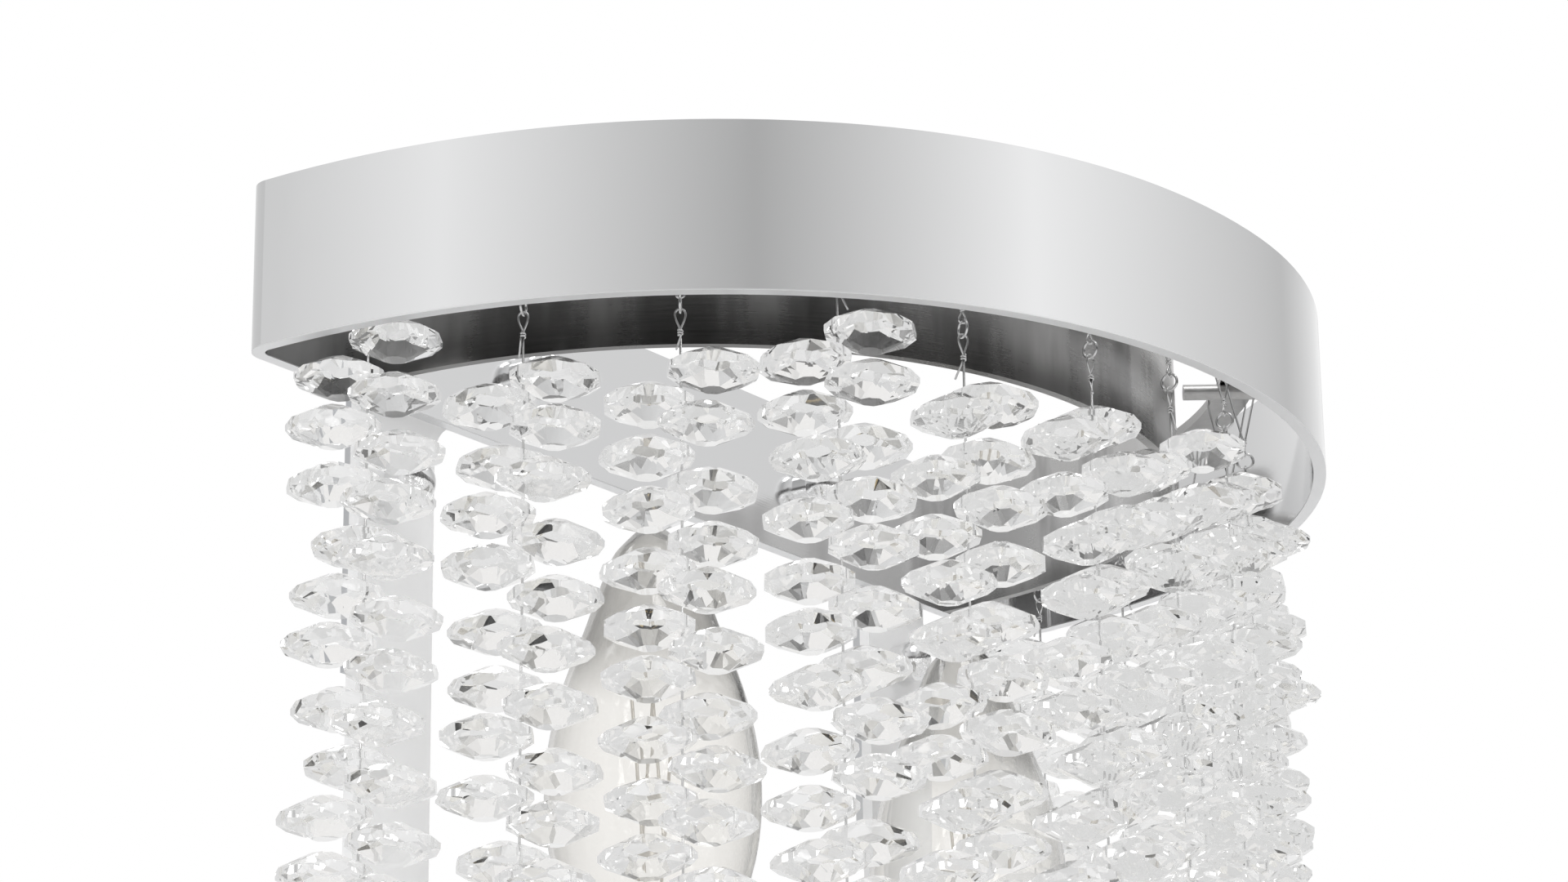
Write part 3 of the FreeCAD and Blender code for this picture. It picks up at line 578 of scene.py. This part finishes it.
# A strand's wire, its ring's middle at z = 0: loop in the ring, wrapped knot with a short
# tail, stem through the discs, and a wrapped stop under the last one
def strandWireParts(index):
    w = strandWire
    foot = -ringInside - w["loop"]
    end = rowZ(index, disc["rows"] - 1) - w["endDrop"] - ringZ(index)
    loop = teardrop(foot, w["loop"], w["loopHalf"])
    if index % 2:
        loop[:, 0] *= -1
    stem = np.zeros((w["stemPoints"], 3))
    stem[:, 2] = np.linspace(foot + 0.1, end, w["stemPoints"])
    stem[1:3, :2] = w["kink"] * math.sin(index), w["kink"] * math.cos(index)
    knot = wrap(w["knot"], foot + w["knotAbove"], foot - w["knotBelow"], w["knotTurns"],
                w["knotPoints"], phase=w["knotPhase"] * index)
    heading = w["tailPhase"] * index
    lean = np.array([math.cos(heading), math.sin(heading)]) * w["tailLean"]
    reach = np.linspace(0.25, 1, 4)[:, None] * w["tail"]
    tail = knot[-1] + np.concatenate([lean * reach, -w["tailDrop"] * reach], 1)
    stop = wrap(w["stop"], end + w["stopTop"], end + w["stopBottom"], w["stopTurns"],
                w["stopPoints"])
    return [tube(loop, w["thin"], w["sides"]), tube(stem, w["stem"], w["sides"]),
            tube(np.concatenate([knot, tail]), w["thin"], w["sides"]),
            tube(stop, w["thin"], w["sides"])]


# A hanger: teardrop in the ring, wrapped neck, and a V over the rail's two edges
def hangerParts(index):
    w = hangerWire
    neck = ringInside + w["eye"]
    side = w["railHalf"] + w["clear"]
    under = w["railBottom"] - ringZ(index) - 0.1
    over = w["railTop"] - ringZ(index) + w["clear"]
    eye = teardrop(-neck, w["eye"], w["eyeHalf"])[::-1] * [1, 1, -1]
    vee = np.array([[0, 0, neck - 0.1], [0, -0.2, neck + 0.9], [0, -side, under],
                    [0, -side - 0.02, over - 0.15], [0, -side + 0.2, over],
                    [0, side - 0.2, over], [0, side + 0.02, over - 0.15],
                    [0, side, under], [0, 0.2, neck + 0.9], [0, 0, neck - 0.05]])
    coil = wrap(w["neck"], neck - 0.1, neck + w["neckAbove"], w["neckTurns"],
                w["neckPoints"], phase=w["neckPhase"] * index)
    return [tube(path, w["thin"], w["sides"]) for path in (eye, vee, coil)]


hangers, rings = [], []
for index, tag in enumerate(tags):
    points, faces = joined(strandWireParts(index))
    newPiece("wire_" + tag, atStrand(points, index, ringZ(index)), faces, "steel_wire",
             "strand_" + tag, ["strand_wire_" + tag], smooth=True)
    points, faces = joined(hangerParts(index))
    hangers.append((atStrand(points, index, ringZ(index)), faces))
    points, faces = tube(circle(ringWire["radius"], ringWire["points"]), ringWire["wire"],
                         ringWire["sides"], closed=True)
    rings.append((atStrand(points, index, ringZ(index)), faces))
points, faces = joined(hangers)
newPiece("hangers", points, faces, "steel_wire", "frame", ["hanger_wires"], smooth=True)
points, faces = joined(rings)
newPiece("rings", points, faces, "steel_wire", "frame", ["jump_rings"], smooth=True)
print("wires and rings done")


# The photo's viewpoint: its place in mm, and its three directions
view = {"eye": (-521.4, -408.6, -192.7), "forward": (0.7679, 0.5592, 0.3124),
        "right": (0.5919, -0.8058, -0.0124), "up": (-0.2448, -0.1944, 0.9499),
        "lens": 96.0, "sensor": 36.0, "near": 0.01, "far": 50.0}

camera = bpy.data.objects.new("camera", bpy.data.cameras.new("camera"))
camera.data.lens = view["lens"]
camera.data.sensor_width = view["sensor"]
camera.data.clip_start = view["near"]
camera.data.clip_end = view["far"]
turn = Matrix((view["right"], view["up"], tuple(-v for v in view["forward"]))).transposed()
camera.matrix_world = Matrix.Translation(Vector(view["eye"]) * mm) @ turn.to_4x4()
bpy.context.scene.collection.objects.link(camera)
bpy.context.scene.camera = camera

# The studio round the light, as tones by bearing in degrees: 0 is straight out from the wall
# and -90 to the left along it. "mirrored" is what the metal shows, and "through" what is seen
# through the glass. "diffuse" lights the rest, with a little more from low in front.
studio = {
    "mirrored": ((-180, 0.65), (-140, 0.6), (-100, 0.9), (-45, 0.45), (10, 0.95), (80, 0.55),
                 (110, 0.9), (180, 0.65)),
    "through": ((-180, 0.88), (-150, 0.87), (-142, 0.62), (-132, 0.86), (-98, 0.88),
                (-90, 0.60), (-80, 0.86), (-60, 0.64), (-52, 0.86), (-20, 0.89),
                (-10, 0.64), (0, 0.89), (44, 0.88), (54, 0.60), (62, 0.87), (104, 0.89),
                (112, 0.64), (120, 0.89)),
    "warmth": 0.975, "overhead": 0.90, "overheadRise": 2.2, "overheadStart": 0.7,
    "overheadSoft": 0.1, "diffuse": 0.88, "lowFront": 0.4, "frontLean": (-0.85, -0.5)}

world = bpy.data.worlds.new("studio")
bpy.context.scene.world = world
world.use_nodes = True
sky = Finish(world.node_tree)
direction = sky.node("ShaderNodeTexCoord", out="Generated")
splitNode = sky.node("ShaderNodeSeparateXYZ", sockets={"Vector": direction}).socket.node
east, north, high = (Tone(sky.tree, splitNode.outputs[i]) for i in range(3))
bearing = sky.maths("ARCTAN2", east, 0 - north) / (2 * math.pi) + 0.5


# A ring of tones by bearing, which a warmth below 1 takes a little towards yellow
def toneRing(stops, warmth=1.0):
    return sky.node("ShaderNodeValToRGB", {"stops": [
        (degrees / 360 + 0.5, (tone, tone * (1 + warmth) / 2, tone * warmth))
        for degrees, tone in stops]}, {"Fac": bearing})


mirrored = toneRing(studio["mirrored"])
through = toneRing(studio["through"], studio["warmth"])
rise = sky.maths("MAXIMUM", studio["overheadRise"] * high - studio["overheadStart"], 0.0)
overhead = sky.maths("SMOOTH_MIN", rise, 1.0, studio["overheadSoft"])
through = sky.shade(through, grey(studio["overhead"]), overhead)
leanNorth, leanHigh = studio["frontLean"]
fromFront = sky.maths("MAXIMUM", leanNorth * north + leanHigh * high, 0.0)
level = studio["diffuse"] + studio["lowFront"] * fromFront * fromFront
light = sky.node("ShaderNodeCombineXYZ", sockets={"X": level, "Y": level, "Z": level})
pathNode = sky.node("ShaderNodeLightPath").socket.node
for ray, tone in (("Is Glossy Ray", mirrored), ("Is Transmission Ray", through),
                  ("Is Camera Ray", grey(1))):
    light = sky.shade(light, tone, Tone(sky.tree, pathNode.outputs[ray]))
sky.node("ShaderNodeOutputWorld", sockets={
    "Surface": sky.node("ShaderNodeBackground", sockets={"Color": light, "Strength": 1.0})})

# Square soft lamps: place, size and power, all turned to the middle of the light.
# The metal shows the studio, so the front lamp isn't mirrored in it.
lamps = {
    "highLeft": {"place": (-0.55, -0.75, 1.5), "size": 0.6, "power": 5.0, "mirrored": True},
    "highRight": {"place": (0.75, -0.5, 1.4), "size": 0.6, "power": 3.0, "mirrored": True},
    "front": {"place": (-0.75, -1.35, -0.12), "size": 0.9, "power": 7.0, "mirrored": False}}
lampAim = (0, -0.05, -0.05)
for name, values in lamps.items():
    source = bpy.data.lights.new(name, "AREA")
    source.shape = "RECTANGLE"
    source.size, source.size_y = values["size"], values["size"]
    source.energy = values["power"]
    lamp = bpy.data.objects.new(name, source)
    aim = Vector(lampAim) - Vector(values["place"])
    lamp.matrix_world = (Matrix.Translation(values["place"])
                         @ aim.to_track_quat("-Z", "Y").to_matrix().to_4x4())
    lamp.visible_glossy = values["mirrored"]
    bpy.context.scene.collection.objects.link(lamp)
print("camera and lights set")

# The floor lies well below, so that it hides nothing in a view from under the light
floorSize = {"half": 6.0, "level": -1.5}
floorFinish = {"dark": (0.86, 0.86, 0.86), "light": (0.89, 0.89, 0.89), "metal": 0.0,
               "stretch": (3, 3, 3), "detail": 2.0, "rough": (0.7, 0.1)}
half, level = floorSize["half"], floorSize["level"]
mesh = bpy.data.meshes.new("floor")
mesh.from_pydata([(-half, -half, level), (half, -half, level), (half, half, level),
                  (-half, half, level)], [], [(0, 1, 2, 3)])
mesh.materials.append(polish("floor", speckled(floorFinish)))
floor = bpy.data.objects.new("floor", mesh)
bpy.context.scene.collection.objects.link(floor)

bpy.context.scene.view_settings.view_transform = "Standard"
bpy.context.view_layer.update()
